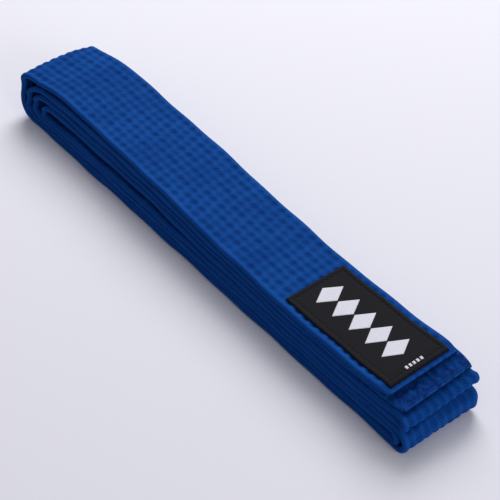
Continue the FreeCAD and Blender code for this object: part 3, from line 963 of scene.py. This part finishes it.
def make_label_border():
    """Stitches along the label's four sides."""
    half_s = LABEL_LENGTH / 2 - BORDER_INSET
    half_y = LABEL_HALF_WIDTH - BORDER_INSET
    starts, ends = [], []
    for side in (-1, 1):
        for place in np.arange(-half_s, half_s - BORDER_STITCH / 2, BORDER_PITCH):
            starts.append((LABEL_MIDDLE + place, side * half_y))
            ends.append((LABEL_MIDDLE + place + BORDER_STITCH, side * half_y))
        for place in np.arange(-half_y, half_y - BORDER_STITCH / 2, BORDER_PITCH):
            starts.append((LABEL_MIDDLE + side * half_s, place))
            ends.append((LABEL_MIDDLE + side * half_s, place + BORDER_STITCH))
    return strands("label_border_stitches_thread", starts, ends, 1, label_top, BORDER_RADIUS,
                   MATERIALS["label_thread"])


# ---- put the belt together ----
def blended(piece):
    """The piece's placement, baked into its mesh."""
    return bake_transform(piece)


def make_belt():
    strap = make_strap()
    cover = {
        "strap_label_pass": ["cover_pass_1", "cover_far_fold_1_8", "end_hem_a", "outer_fold_core_plies",
                             *(f"label_pass_core_ply_{n}" for n in (1, 2, 3))],
        "strap_bottom_pass": ["cover_pass_8", "cover_near_fold_5_8",
                              "core_ply_1", "core_ply_2", "core_ply_3"],
        "strap_inner_passes_5_4": ["cover_pass_5", "cover_far_fold_4_5", "cover_pass_4"],
        "strap_near_fold_3_4": ["cover_near_fold_3_4"],
        "strap_inner_passes_3_6_7": ["cover_pass_3", "cover_far_fold_3_6", "cover_pass_6",
                                     "cover_near_fold_6_7", "cover_pass_7"],
        "strap_second_pass": ["cover_far_fold_2_7", "cover_pass_2", "end_hem_b"],
    }
    for name, piece in strap.items():
        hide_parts(*cover[name])
        if name == "strap_label_pass":
            blended(piece)
        else:
            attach(piece, "bundle")
    return strap


def make_threads():
    cut = PASS_START[8] + CUT
    near_start = PASS_START[3] - fold_length(3, 4) - CUT
    top_start = PASS_START[2] - fold_length(2, 7) - CUT
    clear = SEAM + STITCH_PITCH / 2
    label_end = LABEL_START + LABEL_LENGTH
    front = row_threads("label_pass_needle_threads", label_end, cut, 1)
    back = row_threads("label_pass_bobbin_threads", clear, cut, -1)
    bottom = row_threads("bundle_needle_threads", cut, PASS_START[5] + CUT, 1)
    near = row_threads("near_fold_needle_threads", near_start, PASS_START[3] + CUT, 1)
    top = row_threads("bundle_bobbin_threads", top_start, LENGTH - clear, -1)
    needle = joined("bundle_needle_threads", [bottom, near])
    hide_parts("label_pass_needle_threads", "outer_fold_needle_threads")
    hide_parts("label_pass_bobbin_threads", "outer_fold_bobbin_threads")
    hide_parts(*(f"needle_thread_row_{row}" for row in range(1, ROW_COUNT + 1)))
    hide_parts(*(f"bobbin_thread_row_{row}" for row in range(1, ROW_COUNT + 1)))
    blended(front)
    blended(back)
    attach(needle, "bundle")
    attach(top, "bundle")


def make_ends():
    for name, s, side, body in (("end_tack_stitches_a", SEAM, 1, "label_pass"),
                                ("end_tack_stitches_b", LENGTH - SEAM, -1, "bundle")):
        starts, ends = across_stitches(s)
        piece = strands(f"{name}_thread", starts, ends, side, face_out, THREAD_RADIUS,
                        MATERIALS["belt_thread"])
        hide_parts(name)
        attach(piece, body)


def make_label():
    for made, node, slot in ((make_label_patch, "label_patch", "label_cloth"),
                             (make_label_lozenges, "label_woven_lozenges", "label_yarn"),
                             (make_label_ticks, "label_woven_ticks", "label_yarn"),
                             (make_label_border, "label_border_stitches", "label_thread")):
        piece = made()
        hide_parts(node)
        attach(piece, "label_pass")


# ---- studio ----
def make_floor():
    mesh = bpy.data.meshes.new("floor")
    corners = [(-1, -1, 0), (1, -1, 0), (1, 1, 0), (-1, 1, 0)]
    mesh.from_pydata([Vector(corner) * FLOOR_REACH for corner in corners], [], [(0, 1, 2, 3)])
    mesh.materials.append(floor_material())
    floor = bpy.data.objects.new("floor", mesh)
    floor.location.z = FLOOR_Z - FLOOR_CLEARANCE
    bpy.context.scene.collection.objects.link(floor)


def area_light(name, direction, distance, size, power, colour):
    lamp = bpy.data.lights.new(name, "AREA")
    lamp.shape = "SQUARE"
    lamp.size = size
    lamp.energy = power
    lamp.color = colour
    light = bpy.data.objects.new(name, lamp)
    toward = Vector(direction).normalized()
    light.location = toward * distance
    light.rotation_euler = toward.to_track_quat("Z", "Y").to_euler()
    bpy.context.scene.collection.objects.link(light)


def make_lights():
    area_light("key_softbox", KEY_DIRECTION, KEY_DISTANCE, KEY_SIZE, KEY_POWER, KEY_COLOUR)
    area_light("fill_softbox", FILL_DIRECTION, FILL_DISTANCE, FILL_SIZE, FILL_POWER, FILL_COLOUR)
    world = bpy.data.worlds.new("studio")
    world.use_nodes = True
    background = world.node_tree.nodes["Background"]
    background.inputs["Color"].default_value = (*WORLD_COLOUR, 1)
    background.inputs["Strength"].default_value = WORLD_STRENGTH
    bpy.context.scene.world = world


def make_camera():
    azimuth, elevation, roll = (math.radians(angle) for angle in CAMERA_ANGLES)
    back = Vector((math.sin(azimuth) * math.cos(elevation), -math.cos(azimuth) * math.cos(elevation),
                   math.sin(elevation)))
    level = Vector((math.cos(azimuth), math.sin(azimuth), 0))
    right = math.cos(roll) * level + math.sin(roll) * back.cross(level)
    up = back.cross(right)
    data = bpy.data.cameras.new("camera")
    data.lens = CAMERA_LENS
    data.clip_start = CAMERA_CLIP
    camera = bpy.data.objects.new("camera", data)
    camera.matrix_world = Matrix.Translation(
        back * CAMERA_DISTANCE + right * CAMERA_AIM[0] + up * CAMERA_AIM[1]) @ Matrix(
        (right, up, back)).transposed().to_4x4()
    bpy.context.scene.collection.objects.link(camera)
    bpy.context.scene.camera = camera


make_floor()
make_lights()
make_camera()
make_belt()
make_threads()
make_ends()
make_label()
bpy.context.scene.view_settings.view_transform = "Standard"
